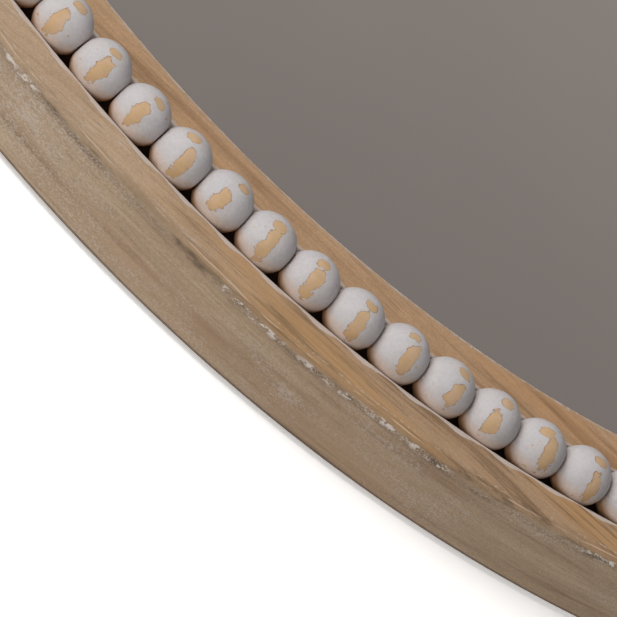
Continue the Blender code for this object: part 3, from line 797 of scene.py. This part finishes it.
def make_outer_timber():
    made, tree = start_finish("outer_hoop_timber", Specular_IOR_Level=0.35)
    grain = read_attribute(tree, "grain").outputs["Vector"]
    section = read_attribute(tree, "section").outputs["Vector"]
    along, radius, depth = split(tree, section)
    # over the arris: below zero on the face, above zero on the side, in metres
    over = plus(tree, less(tree, radius, OUTER_OUTSIDE), less(tree, depth, HOOP_FRONT))
    wander = less(tree, clouds(tree, grain, 24.0, 3.0), 0.5)
    ragged = less(tree, clouds(tree, grain, 300.0, 4.0, 0.65), 0.5)
    over = plus(tree, over, times(tree, wander, 7 * MM))
    over = plus(tree, over, times(tree, ragged, 1.6 * MM))
    tones = [(0.53, 0.37, 0.235, 1), (0.46, 0.305, 0.185, 1), (0.30, 0.19, 0.11, 1)]
    face_colour, pores, height = sawn(tree, grain, *tones)
    # each piece is golden and streaky toward one end, and paler and greyer toward the other
    browner = scaled(tree, along, SEGMENTS / OUTER_OUTSIDE, -SEGMENTS * BROWN_END)
    browner = scaled(tree, maths(tree, "COSINE", browner), 0.45, 0.05)
    browner = plus(tree, browner, fibred(tree, section, 12.0, 30.0, 2.0))
    browner = ease(tree, browner, 0.2, 0.9)
    golden = ease(tree, fibred(tree, grain, 9.0, 50.0, 3.0), 0.42, 0.60)
    golden = times(tree, golden, scaled(tree, browner, 0.72, 0.08))
    face_colour = blend(tree, golden, face_colour, (0.52, 0.295, 0.125, 1))
    streaks = ease(tree, fibred(tree, grain, 18.0, 330.0, 5.0, 0.62, 0.9), 0.50, 0.64)
    streaks = times(tree, streaks, scaled(tree, browner, 0.62, 0.10))
    face_colour = blend(tree, streaks, face_colour, (0.16, 0.105, 0.06, 1))
    tone = blend(tree, browner, (1.06, 1.17, 1.32, 1), (0.95, 0.97, 1.0, 1))
    face_colour = blend(tree, 1.0, face_colour, tone, "MULTIPLY")
    smears = ease(tree, fibred(tree, grain, 20.0, 190.0, 5.0, 0.65), 0.58, 0.68)
    smears = times(tree, smears, scaled(tree, browner, -0.5, 0.65))
    face_colour = blend(tree, smears, face_colour, (0.58, 0.53, 0.50, 1))
    tones = [(0.49, 0.38, 0.27, 1), (0.41, 0.305, 0.208, 1), (0.27, 0.185, 0.12, 1)]
    side_colour = sawn(tree, section, *tones)[0]
    warm = ease(tree, fibred(tree, section, 9.0, 50.0, 4.0), 0.45, 0.66)
    side_colour = blend(tree, times(tree, warm, 0.4), side_colour, (0.47, 0.31, 0.195, 1))
    lines = ease(tree, fibred(tree, section, 18.0, 430.0, 5.0, 0.65), 0.55, 0.72)
    side_colour = blend(tree, times(tree, lines, 0.42), side_colour, (0.16, 0.105, 0.07, 1))
    colour = blend(tree, ease(tree, over, -1.5 * MM, 2.0 * MM), face_colour, side_colour)
    dark = times(tree, ease(tree, over, -0.5 * MM, 1.5 * MM), ease(tree, over, 5 * MM, 2.5 * MM))
    gaps = ease(tree, fibred(tree, section, 70.0, 300.0, 4.0, 0.6), 0.48, 0.66)
    dark = times(tree, dark, gaps)
    colour = blend(tree, times(tree, dark, 0.75), colour, (0.12, 0.08, 0.05, 1))
    # hands have greyed the arris
    handled = times(tree, ease(tree, over, -5 * MM, -2 * MM), ease(tree, over, 5 * MM, 3 * MM))
    colour = blend(tree, handled, colour, (0.80, 0.80, 0.80, 1), "MULTIPLY")
    # one thin pale line just short of the arris, a painted highlight along the rounded edge
    even = plus(tree, over, times(tree, ragged, -1.4 * MM))
    bright = times(tree, ease(tree, even, -2.3 * MM, -1.9 * MM), ease(tree, even, -1.4 * MM, -1.8 * MM))
    bright = times(tree, bright, ease(tree, fibred(tree, section, 60.0, 90.0, 4.0, 0.6), 0.40, 0.56))
    colour = blend(tree, times(tree, bright, 0.6), colour, (0.70, 0.56, 0.43, 1))
    line = times(tree, ease(tree, over, -4.6 * MM, -3.9 * MM), ease(tree, over, -3.0 * MM, -3.6 * MM))
    drift = ease(tree, fibred(tree, section, 16.0, 60.0, 4.0, 0.6), 0.42, 0.68)
    low_side = times(tree, ease(tree, over, 1 * MM, 4 * MM), times(tree, drift, 0.75))
    amount = most(tree, times(tree, line, 0.78), low_side)
    left = place_effect(tree, residue, [("Grain", section), ("Amount", amount)])[0]
    # chalky dust of paint in the open grain, in clouds over the side and thick along its arris
    dusty = times(tree, ease(tree, over, 0.5 * MM, 3 * MM), drift)
    thick = ease(tree, fibred(tree, section, 17.0, 30.0, 2.0), 0.44, 0.58)
    along_arris = times(tree, ease(tree, over, 0.2 * MM, 1.2 * MM), ease(tree, over, 4 * MM, 2 * MM))
    dusty = most(tree, times(tree, dusty, 0.72), times(tree, along_arris, thick))
    dust = clouds(tree, stretched(tree, section, 0.6, 1.0, 1.0), 2100.0, 2.0, 0.65)
    dust = times(tree, ease(tree, dust, 0.49, 0.62), dusty)
    crumbs = clouds(tree, stretched(tree, section, 0.55, 1.0, 1.0), 430.0, 3.0, 0.65)
    crumbs = ease(tree, crumbs, 0.535, 0.565)
    crumbs = times(tree, crumbs, times(tree, along_arris, ease(tree, thick, 0.0, 0.6)))
    # the paint line is widest between beads, in step with them
    beat = scaled(tree, along, BEAD_COUNT / OUTER_OUTSIDE, -BEAD_COUNT * FIRST_BEAD)
    beat = times(tree, maths(tree, "COSINE", beat), 0.6 * MM)
    edge = plus(tree, radius, times(tree, ragged, 1.2 * MM))
    edge = plus(tree, edge, times(tree, wander, 2.0 * MM))
    edge = plus(tree, edge, beat)
    channel_arris = ease(tree, edge, OUTER_INSIDE + 2.0 * MM, OUTER_INSIDE + 1.5 * MM)
    paint = most(tree, channel_arris, most(tree, times(tree, left, 0.6), dust))
    colour = blend(tree, times(tree, paint, 0.88), colour, WHITE_LEFT)
    colour = blend(tree, times(tree, crumbs, 0.9), colour, (0.70, 0.64, 0.59, 1))
    paint = most(tree, paint, crumbs)
    # channel wall painted dark warm brown: painted shade and warm bounce light inside the channel
    channel_wall_shade = ease(tree, depth, HOOP_FRONT + 0.8 * MM, HOOP_FRONT + 2.4 * MM)
    on_wall = ease(tree, radius, OUTER_INSIDE + 0.6 * MM, OUTER_INSIDE + 0.2 * MM)
    channel_wall_shade = times(tree, channel_wall_shade, on_wall)
    colour = blend(tree, channel_wall_shade, colour, (0.34, 0.17, 0.08, 1))
    # a dark ragged line along the back edge: painted contact shadow where the hoop meets the wall
    back_edge_shade = plus(tree, depth, times(tree, ragged, 0.5 * MM))
    back_edge_shade = ease(tree, back_edge_shade, HOOP_BACK - 1.3 * MM, HOOP_BACK - 0.7 * MM)
    colour = blend(tree, times(tree, back_edge_shade, 0.7), colour, (0.08, 0.055, 0.04, 1))
    height = plus(tree, height, times(tree, paint, 1.5))
    rough = plus(tree, 0.62, times(tree, pores, 0.2))
    normal = relief(tree, height, 0.55, 0.14 * MM)
    return finished(made, Base_Color=colour, Roughness=rough, Normal=normal)


outer_timber = make_outer_timber()

outer_section = [
    (OUTER_INSIDE, SEAT, 0),
    (OUTER_INSIDE, HOOP_FRONT, 0.35 * MM),
    (OUTER_OUTSIDE, HOOP_FRONT, 2.4 * MM),
    (OUTER_OUTSIDE, HOOP_BACK, 0.25 * MM),
    (REBATE, HOOP_BACK, 0.4 * MM),
    (REBATE, SEAT, 0),
]
add_hoop(
    "outer_hoop",
    OUTER_FIRST_JOINT,
    (OUTER_INSIDE, OUTER_OUTSIDE),
    outer_section,
    [(2 * MM, 0.25 * MM, 0.025), (11 * MM, 1.9 * MM, 0.055)],
    outer_timber,
)


# Hoop splines: small keys of paler timber, one across each joint of the outer hoop. Sawn to fit
# slots in the ends of both pieces and glued in.


def make_spline_timber():
    made, tree = start_finish("spline_timber", Roughness=0.7)
    tones = [(0.58, 0.44, 0.29, 1), (0.50, 0.36, 0.22, 1), (0.38, 0.26, 0.15, 1)]
    colour, _, height = sawn(tree, object_place(tree), *tones)
    normal = relief(tree, height, 0.4, 0.1 * MM)
    return finished(made, Base_Color=colour, Normal=normal)


spline_timber = make_spline_timber()
for number in range(1, SEGMENTS + 1):
    refinish(f"hoop_spline_{number}", spline_timber)


# Panel screws: twelve countersunk steel wood screws with cross recesses, driven through the
# panel's rim into the outer hoop. Yellow-passivated zinc, a little rubbed round the recess.

SCREW_GRID = 14
SCREW_HEAD = 3.5 * MM
SCREW_SHANK = 1.75 * MM
SCREW_CORE = 1.25 * MM
RECESS_DEPTH = 1.5 * MM
RECESS_ARM = 1.9 * MM
RECESS_HALF_WIDTH = 0.55 * MM
THREAD_PITCH = 1.4 * MM
POINT_LENGTH = 2.5 * MM
FLAT_HEAD = [(SCREW_HEAD, 0.15 * MM), (SCREW_SHANK, 2 * MM), (SCREW_SHANK, 4 * MM)]
MOST_TURN = 1.5


def make_plated(name, pale, dull, roughness):
    """Zinc plate with a cloudy, slightly rubbed colour and fine scratches."""
    made, tree = start_finish(name, Metallic=1.0)
    place = object_place(tree)
    cloud, specks = place_effect(tree, handling, [("Place", place), ("Size", 260.0)])[:2]
    scratches = clouds(tree, stretched(tree, place, 400.0, 400.0, 2600.0), 1.0, 2.0)
    colour = blend(tree, cloud, pale, dull)
    colour = blend(tree, times(tree, specks, 0.5), colour, (0.12, 0.11, 0.10, 1))
    rough = plus(tree, roughness, times(tree, cloud, 0.14))
    normal = relief(tree, scratches, 0.2, 0.03 * MM)
    return finished(made, Base_Color=colour, Roughness=rough, Normal=normal)


def drawn_down(bm, rim, radius, y):
    """Extrudes a screw's round rim to a new radius and depth, and returns the new rim."""
    made = bmesh.ops.extrude_edge_only(bm, edges=rim)["geom"]
    rim = [e for e in edges_in(made) if len(e.link_faces) == 1]
    for vert in {v for e in rim for v in e.verts}:
        size = radius / math.hypot(vert.co.x, vert.co.z)
        vert.co = Vector((vert.co.x * size, y, vert.co.z * size))
    return rim


def screw_mesh(face, dome, steps):
    """A screw about the Y axis, its head towards +Y. Steps are (radius, y) down from the rim."""
    bm = bmesh.new()
    upright = Matrix.Rotation(math.radians(-90), 4, "X")
    bmesh.ops.create_grid(bm, x_segments=SCREW_GRID, y_segments=SCREW_GRID, size=1, matrix=upright)
    arm, width = RECESS_ARM, RECESS_HALF_WIDTH
    for vert in bm.verts:
        x, z = vert.co.x, vert.co.z
        round_x, round_z = x * math.sqrt(1 - z * z / 2), z * math.sqrt(1 - x * x / 2)
        fall = dome * (round_x * round_x + round_z * round_z)
        vert.co = Vector((round_x * SCREW_HEAD, face - fall, round_z * SCREW_HEAD))
    rim = [e for e in bm.edges if e.is_boundary]
    cross = []
    for found in bm.faces:
        middle = found.calc_center_median()
        x, z = abs(middle.x), abs(middle.z)
        if (x < arm and z < width) or (z < arm and x < width):
            cross.append(found)
    sunk = bmesh.ops.extrude_face_region(bm, geom=cross)
    bmesh.ops.delete(bm, geom=cross, context="FACES")
    bottom = verts_in(sunk["geom"])
    bmesh.ops.translate(bm, verts=bottom, vec=(0, -RECESS_DEPTH, 0))
    bmesh.ops.scale(bm, verts=bottom, vec=(0.55, 1, 0.55))
    for radius, y in steps:
        rim = drawn_down(bm, rim, radius, y)
    bmesh.ops.edgeloop_fill(bm, edges=rim)
    return bm


def threads(start, tip):
    """(radius, y) steps of a thread's crests and roots, drawn as rings, down to the point."""
    steps = []
    y = start
    while y - THREAD_PITCH > tip + POINT_LENGTH:
        steps += [(SCREW_CORE, y - 0.5 * THREAD_PITCH), (SCREW_SHANK, y - 0.85 * THREAD_PITCH)]
        y -= THREAD_PITCH
    return [*steps, (SCREW_CORE, y - 0.4 * THREAD_PITCH), (0.25 * MM, tip)]


def add_screw(name, node, head, dome, finish):
    """A screw in its CAD node's place. Its head is (radius, depth) steps down from its face."""
    low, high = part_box(node)
    middle = (low + high) / 2
    steps = [(radius, high.y - depth) for radius, depth in head]
    bm = screw_mesh(high.y, dome, steps + threads(steps[-1][1], low.y))
    place = Matrix.Translation((middle.x, 0, middle.z))
    turn = Matrix.Rotation(chances.uniform(0, MOST_TURN), 4, "Y")
    bmesh.ops.transform(bm, verts=bm.verts, matrix=place @ turn)
    add_piece(name, bm, [finish], "mirror_frame", [node])


yellow_zinc = make_plated("yellow_zinc_screws", (0.72, 0.60, 0.36, 1), (0.55, 0.46, 0.30, 1), 0.30)

for number in range(1, 13):
    node = f"panel_screw_{number:02d}"
    add_screw(f"panel_screw_fine_{number:02d}", node, FLAT_HEAD, 0.0, yellow_zinc)


# Hangers: two steel straps, each rolled at its top into a barrel that holds a D ring of wire, and
# each fixed to the panel by two pan-head screws. Bright zinc plate, cloudy with handling.

STRAP_HALF_WIDTH = 6 * MM
STRAP_THICKNESS = 1.4 * MM
STRAP_CORNER = 3 * MM
BARREL_RADIUS = 3.2 * MM
BARREL_ROLL = math.radians(302)
HOLE_RADIUS = 2.05 * MM
RING_WIRE = 1.5 * MM
RING_HALF_WIDTH = 13 * MM
RING_CORNER = 4 * MM
RING_LEAN = math.radians(5.7)
HINGE_X = 200.74 * MM
HINGE_Y = -9.5 * MM
HINGE_Z = 239.24 * MM
SCREW_DROPS = (11 * MM, 27 * MM)
STRAP_EDGE = 0.2 * MM
PAN_HEAD = [(SCREW_HEAD, 0.9 * MM), (SCREW_HEAD, 2 * MM), (SCREW_SHANK, 2 * MM), (SCREW_SHANK, 4 * MM)]
PAN_DOME = 0.5 * MM

bright_zinc = make_plated("bright_zinc_plate", (0.70, 0.70, 0.69, 1), (0.52, 0.52, 0.51, 1), 0.28)


def add_strap(name, side):
    """Cut flat with its two holes, given its thickness, and its top rolled round the hinge."""
    low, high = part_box(f"hanger_strap_{name}")
    x, y = side * HINGE_X, low.y
    bm = bmesh.new()
    bottom, top = low.z, HINGE_Z
    corners = [(-1, bottom), (1, bottom), (1, top), (-1, top)]
    points = [bm.verts.new((x + s * STRAP_HALF_WIDTH, y, z)) for s, z in corners]
    plate = bm.faces.new(points)
    for point in points[:2]:
        rounded(bm, [point], STRAP_CORNER, 6, "VERTICES")
    outline = list(bm.edges)
    bmesh.ops.delete(bm, geom=list(bm.faces), context="FACES_ONLY")
    upright = Matrix.Rotation(math.radians(90), 4, "X")
    for drop in SCREW_DROPS:
        hole = Matrix.Translation((x, y, HINGE_Z - drop)) @ upright
        bmesh.ops.create_circle(bm, segments=24, radius=HOLE_RADIUS, matrix=hole)
    bmesh.ops.triangle_fill(bm, edges=list(bm.edges), use_beauty=True)
    for face in list(bm.faces):
        middle = face.calc_center_median()
        away = [math.hypot(middle.x - x, middle.z - HINGE_Z + drop) for drop in SCREW_DROPS]
        if min(away) < 0.6 * HOLE_RADIUS:
            bmesh.ops.delete(bm, geom=[face], context="FACES_ONLY")
    thick = bmesh.ops.extrude_face_region(bm, geom=list(bm.faces))
    bmesh.ops.translate(bm, verts=verts_in(thick["geom"]), vec=(0, STRAP_THICKNESS, 0))
    bmesh.ops.recalc_face_normals(bm, faces=bm.faces)
    end = [f for f in bm.faces if all(abs(v.co.z - HINGE_Z) < 0.01 * MM for v in f.verts)]
    geom = {*end, *(e for f in end for e in f.edges), *(v for f in end for v in f.verts)}
    bmesh.ops.spin(
        bm,
        geom=list(geom),
        cent=(x, y + BARREL_RADIUS, HINGE_Z),
        axis=(-1, 0, 0),
        angle=BARREL_ROLL,
        steps=28,
    )
    bmesh.ops.remove_doubles(bm, verts=bm.verts, dist=0.002 * MM)
    bmesh.ops.delete(bm, geom=[f for f in end if f.is_valid], context="FACES_ONLY")
    sharp = [e for e in bm.edges if e.calc_face_angle(0) > math.radians(50)]
    rounded(bm, sharp, STRAP_EDGE, 2)
    replaced = [f"hanger_strap_{name}"]
    add_piece(f"strap_{name}", bm, [bright_zinc], "mirror_frame", replaced)


def add_ring(name, side):
    """Wire bent to a D: a straight bar in the barrel, two small corners and a half circle."""
    bm = bmesh.new()
    across = Matrix.Rotation(math.radians(90), 4, "Y")
    ends = bmesh.ops.create_circle(bm, segments=20, radius=RING_WIRE, matrix=across)["verts"]
    loop = list({e for v in ends for e in v.link_edges})

    def drawn(loop, verts, **path):
        made = bmesh.ops.spin(bm, geom=[*verts, *loop], **path)["geom_last"]
        return edges_in(made), verts_in(made)

    flat = RING_HALF_WIDTH - RING_CORNER
    quarter = math.radians(90)
    straight = {"dvec": (flat / 4, 0, 0), "angle": 0, "steps": 4}
    loop, ends = drawn(loop, ends, **straight)
    for centre_x, turn, steps in ((flat, quarter, 8), (0, 2 * quarter, 32), (-flat, quarter, 8)):
        centre = (centre_x, 0, RING_CORNER)
        loop, ends = drawn(loop, ends, cent=centre, axis=(0, -1, 0), angle=turn, steps=steps)
    drawn(loop, ends, **straight)
    bmesh.ops.remove_doubles(bm, verts=bm.verts, dist=0.01 * MM)
    place = Matrix.Translation((side * HINGE_X, HINGE_Y, HINGE_Z))
    bmesh.ops.transform(bm, verts=bm.verts, matrix=place @ Matrix.Rotation(RING_LEAN, 4, "X"))
    replaced = [f"hanger_ring_{name}"]
    add_piece(f"d_ring_{name}", bm, [bright_zinc], f"ring_{name}", replaced)


for name, side in (("left", -1), ("right", 1)):
    add_strap(name, side)
    add_ring(name, side)

for number in range(1, 5):
    add_screw(f"pan_screw_{number}", f"hanger_screw_{number}", PAN_HEAD, PAN_DOME, bright_zinc)


# Wall bumpers: four discs punched from grey-brown felt, which keep the mirror off the wall. Glued
# to the hoop's back.

FELT_RADIUS = 4 * MM
FELT_EDGE = 0.4 * MM


def make_felt():
    made, tree = start_finish("grey_felt", Roughness=1.0, Specular_IOR_Level=0.1, Sheen_Weight=0.4)
    place = object_place(tree)
    hairs = clouds(tree, place, 2600.0, 4.0, 0.7, 3.0)
    colour = blend(tree, ease(tree, hairs, 0.3, 0.7), (0.11, 0.095, 0.08, 1), (0.30, 0.27, 0.24, 1))
    normal = relief(tree, hairs, 0.8, 0.25 * MM)
    return finished(made, Base_Color=colour, Normal=normal)


felt = make_felt()

for number in range(1, 5):
    low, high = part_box(f"wall_bumper_{number}")
    bm = rounded_disc((low + high) / 2, FELT_RADIUS, high.y - low.y, 40, FELT_EDGE, 4)
    add_piece(f"felt_bumper_{number}", bm, [felt], "mirror_frame", [f"wall_bumper_{number}"])


# Studio: a plain white wall that the mirror hangs on, a pale floor, one big soft light from the
# left, softer ones in front, and two behind that are there for looks at the back.

WALL_PLACE = 0.2 * MM
WALL_OPENING = 0.4
WALL_REACH = 3.5
BOUNCE_SHADE = 0.6
FLOOR_HEIGHT = -1.75
FLOOR_REACH = 40
CAMERA_PLACE = Vector((-1.0681, -1.2557, -1.6400))
CAMERA_BEARING = math.radians(37.147)
CAMERA_RISE = math.radians(39.738)
CAMERA_LENS = 373.3
FADE_FROM = 3.5
FADE_TO = 22.0
ROOM_TINT = (1.0, 0.885, 0.825, 1)
ROOM_TONE = 0.175
CEILING_GAIN = 0.34
SEEN_TONE = 0.8


def make_backdrop(name, colour, shade, glow, far_glow):
    """
    A matt surface that shows from its front only, and lets light through from behind. Where it is
    seen, it is shaded by an amount and glows a little, so that it looks even. In a mirror it
    fades, far off, to the tone of the room beyond it.
    """
    made, tree = start_finish(name, Roughness=1.0, Specular_IOR_Level=0.0)
    paths = add_node(tree, "ShaderNodeLightPath").outputs
    darker = scaled(tree, paths["Is Diffuse Ray"], BOUNCE_SHADE - shade, shade)
    away = add_node(tree, "ShaderNodeVectorMath", [(0, object_place(tree))], operation="LENGTH")
    far = ease(tree, away.outputs["Value"], FADE_FROM, FADE_TO)
    far = times(tree, far, less(tree, 1.0, paths["Is Camera Ray"]))
    lit = scaled(tree, far, far_glow - glow, glow)
    unseen = less(tree, 1.0, paths["Is Diffuse Ray"])
    finished(
        made,
        Base_Color=blend(tree, darker, colour, (0, 0, 0, 1)),
        Emission_Color=blend(tree, far, (1, 1, 1, 1), ROOM_TINT),
        Emission_Strength=times(tree, lit, unseen),
    )
    behind = add_node(tree, "ShaderNodeNewGeometry").outputs["Backfacing"]
    clear = add_node(tree, "ShaderNodeBsdfTransparent").outputs[0]
    through = most(tree, behind, paths["Is Shadow Ray"])
    pairs = [(0, through), (1, tree.nodes["Principled BSDF"].outputs[0]), (2, clear)]
    mixed = add_node(tree, "ShaderNodeMixShader", pairs).outputs[0]
    tree.links.new(mixed, tree.nodes["Material Output"].inputs["Surface"])
    return made


def add_backdrop(name, bm, finish):
    mesh = bpy.data.meshes.new(name)
    bm.to_mesh(mesh)
    bm.free()
    mesh.materials.append(finish)
    made = bpy.data.objects.new(name, mesh)
    bpy.context.scene.collection.objects.link(made)


def add_light(name, place, target, size, watts, colour, spread=180, glossy=True):
    data = bpy.data.lights.new(name, "AREA")
    data.shape = "SQUARE"
    data.size = size
    data.energy = watts
    data.color = colour
    data.spread = math.radians(spread)
    made = bpy.data.objects.new(name, data)
    bpy.context.scene.collection.objects.link(made)
    made.location = place
    made.rotation_euler = (Vector(target) - Vector(place)).to_track_quat("-Z", "Y").to_euler()
    made.visible_camera = False
    made.visible_glossy = glossy


def wall_mesh():
    """A flat disc of wall, open behind the mirror so that light reaches the mirror's back."""
    bm = bmesh.new()
    edge = [bm.verts.new(ring_point(radius, 0, WALL_PLACE)) for radius in (WALL_OPENING, WALL_REACH)]
    bmesh.ops.spin(
        bm,
        geom=[*edge, bm.edges.new(edge)],
        cent=(0, 0, 0),
        axis=(0, 1, 0),
        angle=math.tau,
        steps=180,
        use_merge=True,
    )
    bmesh.ops.remove_doubles(bm, verts=bm.verts, dist=MM / 10)
    bm.faces.ensure_lookup_table()
    if bm.faces[0].normal.y > 0:
        bmesh.ops.reverse_faces(bm, faces=bm.faces)
    return bm


def floor_mesh():
    bm = bmesh.new()
    bmesh.ops.create_grid(bm, size=FLOOR_REACH, matrix=Matrix.Translation((0, 0, FLOOR_HEIGHT)))
    return bm


add_backdrop("wall", wall_mesh(), make_backdrop("white_wall", (0.93, 0.93, 0.93, 1), 0.0, 0.33, 0.33))
add_backdrop("floor", floor_mesh(), make_backdrop("pale_floor", (0.62, 0.61, 0.60, 1), 0.6, 0.45, 0.09))

add_light("key", (-3.1, -2.8, 0.3), (0, 0, 0), 2.0, 114, (1.0, 0.985, 0.97), glossy=False)
add_light("fill", (-1.5, -3.5, -1.0), (0, 0, 0), 2.4, 9, (0.98, 0.99, 1.0), glossy=False)
add_light("low", (-1.7, -0.85, -1.8), (-0.16, 0, -0.37), 1.0, 20, (1.0, 0.97, 0.93), glossy=False)
add_light("back_left", (2.2, 5.0, 1.8), (0, 0, 0), 6.5, 95, (1.0, 0.99, 0.98), spread=60)
add_light("back_right", (-2.4, 5.2, 0.6), (0, 0, 0), 6.5, 31, (0.97, 0.985, 1.0), spread=60)

world = bpy.data.worlds.new("studio")
bpy.context.scene.world = world
world.use_nodes = True
sky = world.node_tree
height = split(sky, add_node(sky, "ShaderNodeTexCoord").outputs["Generated"])[2]
above = most(sky, height, 0.0)
bright = scaled(sky, times(sky, above, above), CEILING_GAIN, ROOM_TONE)
seen = add_node(sky, "ShaderNodeLightPath").outputs["Is Camera Ray"]
bright = most(sky, bright, times(sky, seen, SEEN_TONE))
sky.links.new(bright, sky.nodes["Background"].inputs["Strength"])
tint = blend(sky, seen, ROOM_TINT, (1, 1, 1, 1))
sky.links.new(tint, sky.nodes["Background"].inputs["Color"])

bpy.context.scene.view_settings.view_transform = "Standard"
bpy.context.scene.view_settings.look = "None"

camera = bpy.data.objects.new("camera", bpy.data.cameras.new("camera"))
bpy.context.scene.collection.objects.link(camera)
camera.data.sensor_width = 36
camera.data.lens = CAMERA_LENS
camera.data.dof.use_dof = False
camera.location = CAMERA_PLACE
flat_reach = math.cos(CAMERA_RISE)
look = Vector((
    math.sin(CAMERA_BEARING) * flat_reach,
    math.cos(CAMERA_BEARING) * flat_reach,
    math.sin(CAMERA_RISE),
))
camera.rotation_euler = look.to_track_quat("-Z", "Y").to_euler()
bpy.context.scene.camera = camera
